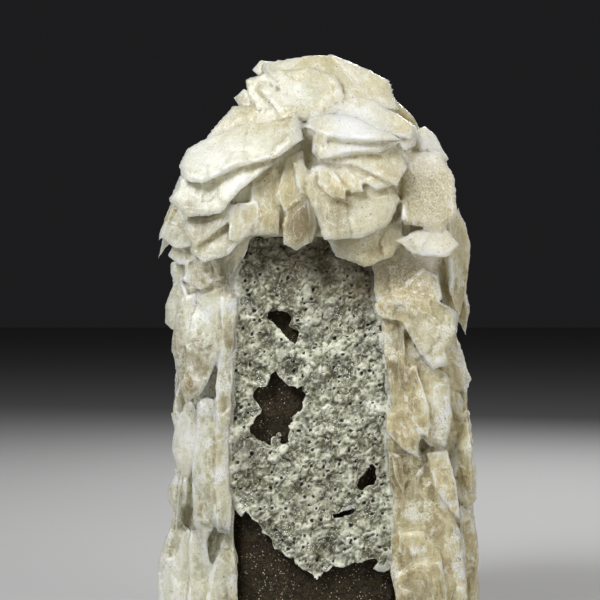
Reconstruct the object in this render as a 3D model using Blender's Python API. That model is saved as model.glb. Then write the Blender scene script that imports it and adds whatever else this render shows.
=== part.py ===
"""Quartz crystal specimen: a dark stone pillar with a grey crust, in a coat of bladed crystals.

Metres, +Z up. The front, which the window in the crystals opens to, looks along -Y.
Three solids: stone_core, grey_crust and crystal_growth. The crystals grew into one another, so they
are joined into one solid. They and the pillar end below in one level break at Z = 0.
"""

import math
import random
from collections import namedtuple

import bmesh
import bpy
from mathutils import Matrix, Vector, noise

MM = 0.001
GAP = 0.3 * MM
SEED = 3

# The pillar that the crystals grew around, lowest and highest corner
CORE_LOW = Vector((-14.6, -9.2, 0.0)) * MM
CORE_HIGH = Vector((13.4, 7.0, 66.0)) * MM
CORE_BEVEL = 2.5 * MM
CORE_RELIEF = 0.5 * MM
CORE_CUTS = 6

# The crust is a thin plate of grains on the front of the pillar
CRUST_BACK = CORE_LOW.y - GAP
CRUST_THICK = 1.5 * MM
CRUST_RELIEF = 0.75 * MM
CRUST_CELL = 2.6 * MM
CRUST_LUMP = 3.2 * MM

# Sides of the window in the crystals, (X, Z) in mm from its top down to the foot
WINDOW_LEFT = (
    (-10.4, 63.4), (-11.2, 60.6), (-12.4, 58.0), (-12.1, 54.0), (-12.6, 47.2), (-13.0, 39.0),
    (-13.3, 33.0), (-13.3, 25.5), (-12.6, 22.2), (-12.6, 16.5), (-12.0, 12.7), (-12.1, 9.0),
    (-11.8, -2.0),
)
WINDOW_RIGHT = (
    (7.5, 63.4), (7.7, 55.5), (8.7, 50.3), (9.6, 44.3), (10.3, 39.0), (9.5, 34.5), (9.9, 28.5),
    (10.6, 22.5), (10.6, 16.5), (10.5, 13.5), (11.2, 9.0), (11.8, -2.0),
)
# Ragged lower edge of the crust, from right to left
CRUST_HEM = (
    (9.7, 13.9), (8.7, 14.7), (6.8, 14.9), (3.8, 14.0), (1.8, 13.8), (0.8, 13.1), (-0.3, 12.0),
    (-2.2, 13.2), (-3.3, 14.3), (-4.5, 15.4), (-6.6, 16.5), (-7.8, 18.0), (-9.3, 20.2),
    (-10.5, 21.8), (-11.6, 22.5),
)
CRUST_SIDE_END = 22.4
# The four holes through the crust
CRUST_HOLES = (
    ((-7.7, 52.7), (-4.5, 52.4), (-4.0, 51.0), (-4.4, 50.2), (-3.0, 49.1), (-3.6, 47.3),
     (-4.7, 47.6), (-6.0, 49.5), (-7.9, 51.0)),
    ((-7.9, 42.4), (-6.8, 43.2), (-5.6, 42.5), (-4.8, 41.1), (-2.7, 41.2), (-2.2, 40.0),
     (-2.1, 38.7), (-2.7, 37.5), (-3.6, 36.7), (-4.2, 35.2), (-4.6, 33.3), (-4.8, 32.0),
     (-7.8, 31.7), (-8.7, 32.1), (-10.5, 33.5), (-10.5, 35.2), (-9.3, 36.8), (-8.7, 37.6),
     (-9.9, 38.6), (-10.2, 40.2), (-9.3, 40.9), (-8.1, 41.1)),
    ((7.8, 29.4), (8.6, 28.8), (8.5, 27.0), (8.1, 26.0), (6.6, 25.2), (5.6, 25.6), (5.7, 27.0),
     (6.7, 28.2)),
    ((1.8, 21.5), (3.0, 21.8), (4.9, 23.0), (5.4, 22.5), (4.5, 21.5), (3.4, 21.1), (2.1, 20.8)),
)

# The ground mass under the plates: Z, left, right, front and back in mm
GROUND_MASS = (
    (-3.0, -23.3, 23.0, -11.9, 13.0),
    (12.0, -23.3, 23.4, -11.9, 13.6),
    (21.0, -21.0, 22.8, -11.9, 13.8),
    (30.0, -21.4, 22.6, -11.9, 13.8),
    (39.0, -19.8, 20.8, -11.9, 13.8),
    (49.0, -21.6, 20.6, -11.9, 13.4),
    (57.0, -21.2, 20.8, -12.2, 13.2),
    (63.0, -22.6, 22.0, -13.4, 13.0),
    (70.0, -21.8, 19.4, -14.4, 12.2),
    (77.0, -17.6, 17.8, -13.6, 10.8),
    (83.0, -12.2, 11.6, -11.4, 9.0),
    (88.5, -9.4, 8.6, -8.0, 5.6),
    (90.8, -7.4, 3.8, -4.5, 2.4),
)
MASS_SIDES = 16
MASS_POWER = 4.5

# One plate of crystal on the front. stand: how far its middle stands out of the ground mass, in mm.
# yaw: which way its face looks, 0 to the front and 90 to +X. lift: how far the face looks up.
# outline: its rim seen from the front, as (X, Z) in mm.
Plate = namedtuple("Plate", "name stand yaw lift outline")

# Plates that grew on the walls beside the window. The window is cut after them.
WALL_PLATES = (
    Plate("left chip under the cheek", -0.4, -40, 4, (
        (-22.6, 60.0), (-20.0, 60.0), (-20.6, 57.0), (-22.2, 56.3), (-22.9, 58.0))),
    Plate("left facets under the cheek", 0.4, -8, 8, (
        (-20.8, 57.0), (-20.4, 60.0), (-16.0, 60.2), (-14.4, 57.0), (-18.0, 55.2))),
    Plate("left edge chip", 0.8, -38, 4, (
        (-22.4, 56.4), (-20.6, 57.0), (-19.6, 54.0), (-20.6, 50.0), (-22.4, 49.0), (-23.8, 50.0),
        (-23.9, 53.0))),
    Plate("left main face", 1.1, -8, 4, (
        (-21.4, 54.4), (-18.0, 56.0), (-14.6, 56.4), (-14.4, 50.0), (-15.2, 45.2), (-16.8, 41.6),
        (-18.0, 39.4), (-20.2, 38.0), (-21.6, 42.0), (-22.8, 47.5))),
    Plate("left rim by the window, upper", 0.5, 2, 2, (
        (-14.8, 54.6), (-12.2, 55.0), (-12.4, 46.0), (-12.9, 36.0), (-15.2, 34.0), (-16.0, 41.0),
        (-14.8, 47.0))),
    Plate("left edge bulge", 0.9, -34, 3, (
        (-20.0, 39.4), (-18.2, 37.0), (-18.0, 31.0), (-20.0, 26.8), (-21.8, 27.8), (-22.7, 31.0),
        (-22.4, 34.6))),
    Plate("left long face", 1.0, -8, 2, (
        (-18.6, 39.6), (-15.8, 39.6), (-15.2, 31.0), (-15.6, 20.0), (-17.2, 16.4), (-19.2, 20.0),
        (-19.4, 30.0))),
    Plate("left rim by the window, lower", 0.6, 4, 2, (
        (-15.8, 38.0), (-13.2, 38.4), (-13.1, 28.0), (-13.4, 18.4), (-15.6, 19.0), (-15.8, 30.0))),
    Plate("left edge knob", 0.5, -40, 6, (
        (-22.0, 27.8), (-20.0, 27.0), (-20.0, 23.0), (-22.0, 21.6), (-23.2, 23.0), (-23.3, 25.4))),
    Plate("left foot, outer", 1.1, -28, 4, (
        (-21.4, 21.4), (-19.4, 19.4), (-18.4, 10.0), (-18.6, -2.0), (-24.6, -2.0), (-24.9, 14.0),
        (-23.6, 18.0))),
    Plate("left foot, inner", 1.0, -4, 4, (
        (-19.6, 20.0), (-16.8, 17.6), (-15.8, 12.0), (-16.6, 3.0), (-18.4, -2.0), (-20.0, 8.0))),
    Plate("left foot by the window", 0.8, 6, 3, (
        (-14.4, 19.0), (-12.8, 16.0), (-12.0, 9.0), (-12.0, -2.0), (-16.8, -2.0), (-17.0, 10.0),
        (-16.0, 15.0))),
    Plate("right brow facet", 0.3, 6, 10, (
        (11.6, 55.4), (15.6, 58.8), (18.0, 58.0), (18.6, 54.0), (15.0, 53.2))),
    Plate("right upper corner", 0.8, 24, 6, (
        (17.4, 58.6), (21.2, 59.0), (22.0, 55.0), (21.0, 50.4), (18.4, 53.0))),
    Plate("right tongue", 1.6, 3, 6, (
        (6.7, 52.8), (11.8, 55.6), (16.8, 54.8), (20.8, 52.4), (20.6, 48.4), (19.0, 44.0),
        (17.0, 43.2), (14.6, 46.0), (12.0, 50.6), (9.0, 51.2))),
    Plate("right edge chip", 0.5, 36, 6, (
        (20.0, 48.6), (22.0, 44.8), (22.4, 41.0), (21.2, 39.6), (18.6, 41.0), (18.4, 45.0))),
    Plate("right rim by the window, upper", 0.4, -2, 2, (
        (9.2, 51.2), (12.6, 51.0), (13.0, 44.0), (12.6, 37.6), (10.2, 37.8), (9.6, 44.0))),
    Plate("right inner streak", 1.4, -8, 4, (
        (12.8, 43.6), (14.6, 44.6), (16.4, 38.0), (16.2, 32.6), (14.0, 35.0), (12.6, 38.6))),
    Plate("right streaked face", 0.9, 2, 5, (
        (12.4, 49.0), (17.0, 44.4), (19.6, 43.0), (20.0, 36.0), (19.0, 31.6), (16.2, 31.8),
        (13.8, 34.4), (12.4, 40.0))),
    Plate("right edge face", 1.0, 34, 5, (
        (19.4, 42.0), (21.4, 40.0), (23.2, 35.6), (23.2, 32.4), (20.8, 31.0), (19.0, 33.0),
        (18.8, 38.0))),
    Plate("right small tongue", 1.1, 0, 6, (
        (9.8, 38.0), (12.8, 38.6), (15.2, 33.6), (14.6, 30.4), (12.4, 31.4), (9.8, 34.4))),
    Plate("right large face", 0.6, 4, 3, (
        (9.9, 33.0), (14.6, 31.6), (20.0, 24.0), (21.8, 18.0), (22.4, 9.0), (21.8, -2.0),
        (12.2, -2.0), (10.6, 9.0), (9.9, 18.0))),
    Plate("right pointed plate", 1.6, 10, 5, (
        (15.6, 31.2), (19.2, 31.8), (20.4, 27.0), (21.5, 20.4), (19.4, 22.4), (17.0, 26.0))),
    Plate("right edge, middle", 1.0, 38, 4, (
        (20.2, 31.8), (22.6, 33.2), (24.2, 28.0), (24.3, 24.0), (23.2, 22.0), (20.8, 24.0),
        (20.0, 28.0))),
    Plate("right pointed sliver", 1.1, 10, 2, (
        (10.2, 31.4), (12.0, 31.0), (12.8, 27.6), (12.4, 24.6), (11.2, 27.0))),
    Plate("right edge, lower", 1.0, 38, 3, (
        (21.4, 22.6), (23.2, 22.4), (24.5, 16.0), (24.2, 9.6), (23.4, -2.0), (21.0, -2.0),
        (21.0, 12.0))),
    Plate("right healed plate, upper", 1.2, -4, -4, (
        (11.8, 19.4), (15.4, 19.6), (18.0, 16.8), (19.0, 10.4), (17.0, 7.6), (12.6, 9.4))),
    Plate("right healed plate, lower", 1.5, 0, -4, (
        (11.4, 12.8), (14.4, 14.9), (17.6, 15.0), (19.0, 10.0), (19.2, 2.0), (13.2, 1.0),
        (11.8, 8.0))),
)

# Plates of the hood over the window, which hang in front of the crust. They come after the cut.
HOOD_PLATES = (
    Plate("crown face", 0.7, 6, 34, (
        (-9.0, 90.3), (-4.0, 91.3), (2.0, 91.7), (5.4, 90.5), (10.7, 87.6), (12.3, 82.4),
        (7.0, 82.4), (0.0, 81.0), (-6.0, 81.6), (-9.4, 85.6))),
    Plate("crown chip, top", 1.0, -16, 20, (
        (-10.6, 89.2), (-9.4, 91.0), (-5.6, 90.6), (-5.4, 88.0), (-8.4, 87.4))),
    Plate("crown chip, left", 1.6, -14, 16, (
        (-11.6, 87.4), (-8.0, 88.4), (-5.8, 86.4), (-6.2, 82.2), (-9.0, 81.8), (-10.8, 84.4))),
    Plate("crown middle face", 1.6, -2, 22, (
        (-6.5, 88.8), (-2.0, 89.6), (3.0, 87.8), (3.8, 84.6), (0.0, 80.8), (-4.4, 80.2),
        (-6.5, 84.4))),
    Plate("left peak chip", 1.0, -22, 10, (
        (-13.4, 84.8), (-11.6, 86.4), (-9.8, 85.4), (-8.6, 82.2), (-11.6, 82.6))),
    Plate("left slope", 0.5, -20, 32, (
        (-13.2, 83.6), (-8.0, 83.4), (-3.0, 81.6), (-3.6, 76.8), (-11.0, 77.0), (-18.2, 77.4),
        (-16.0, 80.4))),
    Plate("left great tongue", 1.9, -16, 30, (
        (-18.0, 78.0), (-11.0, 80.4), (-2.6, 81.0), (-2.2, 77.6), (-6.0, 75.0), (-12.0, 73.4),
        (-17.6, 71.0), (-20.6, 71.8), (-21.4, 74.0), (-20.0, 76.6))),
    Plate("left second tongue", 1.5, -14, 20, (
        (-21.2, 72.6), (-16.0, 73.0), (-8.4, 75.6), (-6.6, 74.2), (-11.6, 70.2), (-14.6, 66.4),
        (-20.2, 66.2), (-22.8, 68.6))),
    Plate("cheek", 1.5, -10, 16, (
        (-19.0, 67.0), (-12.4, 68.6), (-8.6, 67.4), (-10.4, 63.6), (-13.8, 60.4), (-17.4, 59.4),
        (-19.4, 61.0))),
    Plate("cheek, upper fold", 2.0, -22, 18, (
        (-20.2, 66.0), (-14.6, 66.8), (-12.0, 68.6), (-14.0, 65.0), (-18.6, 61.8), (-20.0, 63.4))),
    Plate("cheek, inner fold", 1.9, 6, 10, (
        (-12.6, 68.4), (-9.2, 69.0), (-8.8, 66.4), (-11.6, 62.4), (-13.6, 62.6), (-13.4, 65.6))),
    Plate("left jowl, upper", 1.0, -36, 10, (
        (-22.8, 68.8), (-19.8, 67.0), (-19.0, 64.4), (-22.4, 64.6), (-24.0, 66.2))),
    Plate("left jowl, middle", 1.0, -34, 10, (
        (-22.4, 65.8), (-19.2, 65.2), (-18.6, 62.0), (-22.0, 61.6), (-24.1, 63.4))),
    Plate("left jowl, lower", 0.4, -32, 8, (
        (-22.0, 62.8), (-19.0, 62.8), (-18.4, 60.0), (-21.4, 59.2), (-23.2, 60.8))),
    Plate("recess, outer", 0.2, 8, 4, (
        (-10.4, 70.6), (-7.0, 73.8), (-5.6, 73.4), (-6.0, 63.3), (-10.8, 63.3))),
    Plate("recess, inner", 0.8, -6, 4, (
        (-5.4, 75.0), (-2.4, 76.4), (-1.8, 73.0), (-3.0, 68.6), (-5.4, 66.6), (-6.4, 69.4))),
    Plate("recess, sliver", 1.3, 14, 6, (
        (-4.0, 74.2), (-2.6, 75.0), (-1.0, 71.4), (-0.6, 69.0), (-2.2, 69.2), (-3.4, 71.0))),
    Plate("dark tongue", 1.5, 0, 4, (
        (-3.2, 69.6), (-1.0, 69.0), (0.0, 65.0), (-1.0, 62.4), (-3.6, 61.0), (-5.4, 62.0),
        (-5.8, 65.0), (-4.8, 68.0))),
    Plate("hanging lip", 1.2, 2, 6, (
        (0.0, 64.2), (6.0, 65.0), (12.2, 66.0), (12.8, 63.2), (10.6, 60.2), (6.4, 58.7),
        (2.2, 60.2))),
    Plate("fan", 2.0, 2, 12, (
        (-1.4, 74.0), (5.0, 74.4), (10.2, 71.6), (12.2, 69.0), (10.6, 65.2), (6.4, 62.9),
        (0.4, 62.6), (-1.0, 66.4), (-2.6, 70.6))),
    Plate("fan ridge, left", 2.5, -16, 10, (
        (-0.6, 74.0), (1.6, 73.6), (3.8, 70.4), (3.9, 68.4), (2.0, 68.6), (-0.6, 71.2))),
    Plate("fan ridge, middle", 2.3, -10, 12, (
        (1.2, 74.2), (3.8, 73.6), (6.4, 71.4), (6.5, 69.6), (4.6, 69.4), (2.2, 71.8))),
    Plate("fan ridge, right", 2.2, -4, 14, (
        (3.6, 74.6), (7.0, 74.0), (10.2, 72.0), (10.4, 70.4), (8.2, 69.8), (5.6, 72.0))),
    Plate("brow, lowest", 2.3, 2, 30, (
        (-1.2, 74.2), (0.6, 75.4), (5.0, 76.4), (12.4, 76.4), (13.0, 73.8), (11.4, 70.4),
        (8.2, 72.4), (4.4, 73.9))),
    Plate("brow, inner edge", 2.6, -30, 4, (
        (-1.2, 78.4), (0.8, 78.6), (0.9, 75.2), (-0.2, 74.4), (-1.4, 75.6))),
    Plate("brow, middle", 2.6, 0, 40, (
        (-1.0, 76.6), (0.4, 78.6), (6.0, 78.2), (12.4, 77.2), (9.0, 75.6), (3.6, 75.5),
        (-0.4, 74.6))),
    Plate("brow, bright", 3.3, -4, 36, (
        (-2.8, 79.6), (-2.0, 81.2), (1.6, 81.8), (5.6, 81.0), (12.4, 77.4), (8.0, 77.0),
        (1.0, 77.8))),
    Plate("brow, highest", 2.0, 6, 30, (
        (2.0, 81.8), (5.4, 84.8), (8.6, 83.8), (14.4, 79.6), (13.6, 77.6), (9.0, 78.8))),
    Plate("brow, right end", 1.6, 20, 16, (
        (11.6, 81.6), (14.8, 79.8), (14.4, 77.0), (12.8, 75.8), (11.0, 78.4))),
    Plate("right peak", 1.2, 30, 18, (
        (14.0, 79.4), (15.8, 80.6), (17.8, 78.8), (19.4, 75.4), (18.4, 73.4), (15.2, 75.6))),
    Plate("right grainy shoulder", 0.9, 14, 12, (
        (12.6, 76.6), (18.2, 76.4), (20.4, 72.0), (20.8, 66.6), (18.0, 64.0), (12.2, 65.2),
        (12.2, 69.6))),
    Plate("right edge, long", 1.0, 44, 4, (
        (20.0, 69.0), (22.4, 66.0), (23.4, 62.4), (22.4, 56.0), (21.0, 50.6), (19.4, 55.0),
        (19.4, 65.0))),
    Plate("right shoulder knob", 1.3, 26, 14, (
        (12.2, 69.4), (14.4, 70.4), (15.6, 67.8), (14.2, 65.0), (12.0, 66.0))),
    Plate("right white lens", 2.4, 6, 26, (
        (11.0, 62.8), (14.0, 64.4), (18.6, 65.0), (21.0, 62.2), (19.0, 60.4), (13.8, 60.5))),
)

# Plates that finish the sides and the back in level rows, where the photograph doesn't look
ROW_PITCH = 13.0
ROW_FOOT = 6.0
ROW_TOP = 85.0
ROW_FRONT_LIMIT = 76.0
ROW_COUNT = 7
ROW_STAND = (0.4, 1.4)
ROW_LENGTH = (18.0, 27.0)
ROW_WIDTH = (8.5, 14.0)
ROW_TOP_SHARE = 0.62
BLADE_CORNERS = ((1.0, 0.1), (0.35, 0.95), (-0.75, 0.8), (-1.0, -0.1), (-0.55, -0.9), (0.45, -0.85))
BLADE_JITTER = 0.14

# A plate is a flat cap inside a sharp rim, over a keel that roots it in the mass
CAP_SHARE = 0.86
CAP_RISE = 0.35
KEEL_DEPTH = 4.5


def clear_scene():
    for obj in list(bpy.data.objects):
        bpy.data.objects.remove(obj, do_unlink=True)


def collection_named(name):
    made = bpy.data.collections.new(name)
    bpy.context.scene.collection.children.link(made)
    return made


def new_object(name, mesh, collection):
    obj = bpy.data.objects.new(name, mesh)
    collection.objects.link(obj)
    return obj


def mesh_from(bm, name):
    mesh = bpy.data.meshes.new(name)
    bmesh.ops.recalc_face_normals(bm, faces=bm.faces[:])
    bm.to_mesh(mesh)
    bm.free()
    return mesh


def hide(obj):
    obj.hide_render = True
    obj.display_type = "WIRE"
    return obj


def stone_material(name, colour, roughness):
    made = bpy.data.materials.new(name)
    made.use_nodes = True
    shader = made.node_tree.nodes["Principled BSDF"]
    shader.inputs["Base Color"].default_value = (*colour, 1.0)
    shader.inputs["Roughness"].default_value = roughness
    shader.inputs["Metallic"].default_value = 0.0
    return made


def mass_at(z_mm):
    """Left, right, front and back of the ground mass at a height, in mm."""
    rows = GROUND_MASS
    for low, high in zip(rows, rows[1:]):
        if z_mm <= high[0]:
            t = max(0.0, (z_mm - low[0]) / (high[0] - low[0]))
            return [a + (b - a) * t for a, b in zip(low[1:], high[1:])]
    return list(rows[-1][1:])


def mass_reach(half_x, half_y, angle):
    """How far a ring of the mass reaches, in mm: an ellipse made squarer by MASS_POWER."""
    across, deep = abs(math.sin(angle)) / half_x, abs(math.cos(angle)) / half_y
    return (across**MASS_POWER + deep**MASS_POWER) ** (-1 / MASS_POWER)


def mass_point(z_mm, angle, grow=0.0):
    """A point on the ground mass, with angle 0 at the front and 90 at +X, in mm."""
    left, right, front, back = mass_at(z_mm)
    reach = mass_reach((right - left) / 2, (back - front) / 2, angle) + grow
    middle = Vector(((left + right) / 2, (front + back) / 2, z_mm))
    return middle + Vector((math.sin(angle), -math.cos(angle), 0)) * reach


def mass_yaw(z_mm, angle):
    """Which way the ground mass faces there, in degrees."""
    left, right, front, back = mass_at(z_mm)
    across, deep = math.sin(angle) / (right - left), math.cos(angle) / (back - front)
    x = math.copysign(abs(across) ** (MASS_POWER - 1) / (right - left), across)
    y = math.copysign(abs(deep) ** (MASS_POWER - 1) / (back - front), deep)
    return math.degrees(math.atan2(x, y))


def mass_front(x_mm, z_mm):
    """How far forward the ground mass comes at a place on the front, as Y in mm."""
    left, right, front, back = mass_at(z_mm)
    share = min(0.97, abs(x_mm - (left + right) / 2) / ((right - left) / 2))
    reach = (1 - share**MASS_POWER) ** (1 / MASS_POWER)
    return (front + back) / 2 - (back - front) / 2 * reach


def facing(yaw, lift):
    """The direction a face looks in, from its yaw and lift in degrees."""
    yaw, lift = math.radians(yaw), math.radians(lift)
    return Vector((math.sin(yaw) * math.cos(lift), -math.cos(yaw) * math.cos(lift), math.sin(lift)))


def front_rim(plate):
    """A traced outline, laid on the plate's plane in front of the ground mass, in mm."""
    x = sum(p[0] for p in plate.outline) / len(plate.outline)
    z = sum(p[1] for p in plate.outline) / len(plate.outline)
    y = mass_front(x, z) - plate.stand
    face = facing(plate.yaw, plate.lift)
    rim = []
    for a, b in plate.outline:
        depth = y - (face.x * (a - x) + face.z * (b - z)) / face.y
        rim.append(Vector((a, depth, b)))
    return rim


def row_rims(rng):
    """The face direction and the rim, in mm, of each plate of the rows on the sides and the back."""
    rows = int((ROW_TOP - ROW_FOOT) / ROW_PITCH)
    for row in range(rows + 1):
        z = ROW_FOOT + row * ROW_PITCH
        for step in range(ROW_COUNT):
            share = (step + 0.5 * (row % 2) + rng.uniform(-0.1, 0.1)) / (ROW_COUNT - 0.5)
            angle = math.radians(ROW_FRONT_LIMIT + (360 - 2 * ROW_FRONT_LIMIT) * share)
            above = max(0.0, z - 62)
            yaw = mass_yaw(z, angle) + rng.uniform(-6, 6)
            face = facing(yaw, rng.uniform(1, 7) + above * 2)
            centre = mass_point(z, angle, rng.uniform(*ROW_STAND))
            size = 1 - (1 - ROW_TOP_SHARE) * above / (ROW_TOP - 62)
            yield face, blade_rim(face, centre, size, rng)


def blade_rim(face, centre, scale, rng):
    """A blunt blade whose tip points down and a little to one side."""
    down = (Vector((0, 0, -1)) + face * face.z).normalized()
    lean = math.radians(rng.uniform(-36, 36))
    tip = down * math.cos(lean) + face.cross(down) * math.sin(lean)
    across = tip.cross(face)
    length, width = rng.uniform(*ROW_LENGTH) * scale, rng.uniform(*ROW_WIDTH) * scale
    mirror = rng.choice((-1, 1))
    rim = []
    for along, side in BLADE_CORNERS[::mirror]:
        along += rng.uniform(-BLADE_JITTER, BLADE_JITTER)
        side = mirror * side + rng.uniform(-BLADE_JITTER, BLADE_JITTER)
        rim.append(centre + tip * along * length / 2 + across * side * width / 2)
    return rim


def plate_mesh(rim, face):
    """A plate: its flat cap inside a sharp rim, and its keel behind."""
    centre = sum(rim, Vector()) / len(rim)
    bm = bmesh.new()
    cap = bm.faces.new([bm.verts.new(point * MM) for point in rim])
    cap.normal_update()
    if cap.normal.dot(face) < 0:
        cap.normal_flip()
    skirt = bmesh.ops.extrude_edge_only(bm, edges=cap.edges[:])["geom"]
    keel = [v for v in skirt if isinstance(v, bmesh.types.BMVert)]
    bmesh.ops.pointmerge(bm, verts=keel, merge_co=(centre - face * KEEL_DEPTH) * MM)
    cap = bmesh.ops.extrude_discrete_faces(bm, faces=[cap])["faces"][0]
    for v in cap.verts:
        v.co = centre.lerp(v.co / MM, CAP_SHARE) * MM + face * CAP_RISE * MM
    bmesh.ops.triangulate(bm, faces=[cap])
    return mesh_from(bm, "plate")


def add_plates(placed, name, collection):
    """One helper object a plate, in a collection of its own, for a Boolean to take together."""
    for number, (face, rim) in enumerate(placed):
        hide(new_object(f"{name}_{number:02d}", plate_mesh(rim, face), collection))


def ground_mass_mesh():
    """The lumpy column that the plates stand on: a cylinder whose rings follow GROUND_MASS."""
    bm = bmesh.new()
    bmesh.ops.create_cone(
        bm, cap_ends=True, segments=MASS_SIDES, radius1=1, radius2=1, depth=2,
    )
    upright = [e for e in bm.edges if abs(e.verts[0].co.z - e.verts[1].co.z) > 1]
    rings = len(GROUND_MASS)
    bmesh.ops.subdivide_edges(bm, edges=upright, cuts=rings - 2, use_grid_fill=True)
    for v in bm.verts:
        ring = round((v.co.z + 1) / 2 * (rings - 1))
        angle = math.atan2(v.co.x, -v.co.y)
        v.co = mass_point(GROUND_MASS[ring][0], angle) * MM
    bmesh.ops.triangulate(bm, faces=[f for f in bm.faces if len(f.verts) > 4])
    return mesh_from(bm, "ground_mass")


def flat_outline(name, loops, low_y, high_y, collection):
    """A plate with an outline in the XZ plane and holes, from low_y to high_y, as a mesh object."""
    curve = bpy.data.curves.new(name, "CURVE")
    curve.dimensions = "2D"
    curve.fill_mode = "BOTH"
    curve.extrude = (high_y - low_y) / 2
    for loop in loops:
        spline = curve.splines.new("POLY")
        spline.points.add(len(loop) - 1)
        for point, (x, z) in zip(spline.points, loop):
            point.co = (x * MM, z * MM, 0, 1)
        spline.use_cyclic_u = True
    guide = new_object(name + "_guide", curve, collection)
    guide.rotation_euler = (math.pi / 2, 0, 0)
    guide.location = (0, (low_y + high_y) / 2, 0)
    bpy.context.view_layer.update()
    graph = bpy.context.evaluated_depsgraph_get()
    mesh = bpy.data.meshes.new_from_object(guide.evaluated_get(graph))
    mesh.transform(guide.matrix_world)
    bpy.data.objects.remove(guide, do_unlink=True)
    bm = bmesh.new()
    bm.from_mesh(mesh)
    bmesh.ops.remove_doubles(bm, verts=bm.verts[:], dist=1e-6)
    return new_object(name, mesh_from(bm, name), collection)


def box_object(name, low, high, collection):
    bm = bmesh.new()
    bmesh.ops.create_cube(bm, size=1.0)
    size, middle = high - low, (high + low) / 2
    bm.transform(Matrix.Translation(middle) @ Matrix.Diagonal((*size, 1.0)))
    return new_object(name, mesh_from(bm, name), collection)


def add_boolean(obj, operation, operand):
    """A Boolean with one object or with all that a collection holds."""
    modifier = obj.modifiers.new(operation.lower(), "BOOLEAN")
    modifier.solver = "EXACT"
    modifier.operation = operation
    if isinstance(operand, bpy.types.Collection):
        modifier.operand_type = "COLLECTION"
        modifier.collection = operand
    else:
        modifier.object = operand


def apply_modifiers(obj):
    graph = bpy.context.evaluated_depsgraph_get()
    mesh = bpy.data.meshes.new_from_object(obj.evaluated_get(graph))
    obj.modifiers.clear()
    obj.data = mesh


def keep_largest_body(obj):
    """Drops the chips that the window's cut leaves loose from a mesh."""
    bm = bmesh.new()
    bm.from_mesh(obj.data)
    seen, groups = set(), []
    for start in bm.verts:
        if start in seen:
            continue
        group, todo = [], [start]
        seen.add(start)
        while todo:
            v = todo.pop()
            group.append(v)
            for e in v.link_edges:
                other = e.other_vert(v)
                if other not in seen:
                    seen.add(other)
                    todo.append(other)
        groups.append(group)
    groups.sort(key=len)
    for group in groups[:-1]:
        print("dropped a loose chip of", len(group), "corners")
        bmesh.ops.delete(bm, geom=group, context="VERTS")
    bm.to_mesh(obj.data)
    bm.free()


def make_core(collection):
    """The pillar: a box with worn corners and a rough face that sinks in, never out."""
    core = box_object("stone_core", CORE_LOW, CORE_HIGH, collection)
    bm = bmesh.new()
    bm.from_mesh(core.data)
    upper = [e for e in bm.edges if max(v.co.z for v in e.verts) > CORE_LOW.z + MM]
    bmesh.ops.bevel(
        bm, geom=upper, offset=CORE_BEVEL, offset_type="OFFSET", segments=1, profile=0.5,
        affect="EDGES", material=-1,
    )
    step = (CORE_HIGH.z - CORE_LOW.z) / (2 * CORE_CUTS)
    for cut in range(1, 2 * CORE_CUTS):
        bmesh.ops.bisect_plane(
            bm, geom=bm.verts[:] + bm.edges[:] + bm.faces[:], dist=1e-7,
            plane_co=(0, 0, CORE_LOW.z + cut * step), plane_no=(0, 0, 1),
        )
    for cut in range(1, CORE_CUTS):
        x = CORE_LOW.x + cut * (CORE_HIGH.x - CORE_LOW.x) / CORE_CUTS
        bmesh.ops.bisect_plane(
            bm, geom=bm.verts[:] + bm.edges[:] + bm.faces[:], dist=1e-7,
            plane_co=(x, 0, 0), plane_no=(1, 0, 0),
        )
    middle = (CORE_LOW + CORE_HIGH) / 2
    for v in bm.verts:
        if v.co.z > CORE_LOW.z + 0.1 * MM:
            sink = CORE_RELIEF * (0.5 + 0.5 * noise.noise(v.co / (4 * MM)))
            inward = Vector((middle.x - v.co.x, middle.y - v.co.y, 0)).normalized()
            v.co += inward * sink
    core.data = mesh_from(bm, "stone_core")
    core.data.materials.append(stone_material("dark_stone", (0.035, 0.026, 0.018), 0.45))
    return core


def window_loop(clearance):
    """The window's outline in mm, widened by a clearance."""
    left = [(x - clearance, z) for x, z in WINDOW_LEFT]
    right = [(x + clearance, z) for x, z in reversed(WINDOW_RIGHT)]
    left[0] = (left[0][0], left[0][1] + clearance)
    right[-1] = (right[-1][0], right[-1][1] + clearance)
    return left + right


def crust_loops():
    left = [point for point in WINDOW_LEFT if point[1] > CRUST_SIDE_END]
    right = [point for point in WINDOW_RIGHT if point[1] > CRUST_HEM[0][1] + 1]
    return [[*reversed(left), *right, *CRUST_HEM], *CRUST_HOLES]


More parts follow.
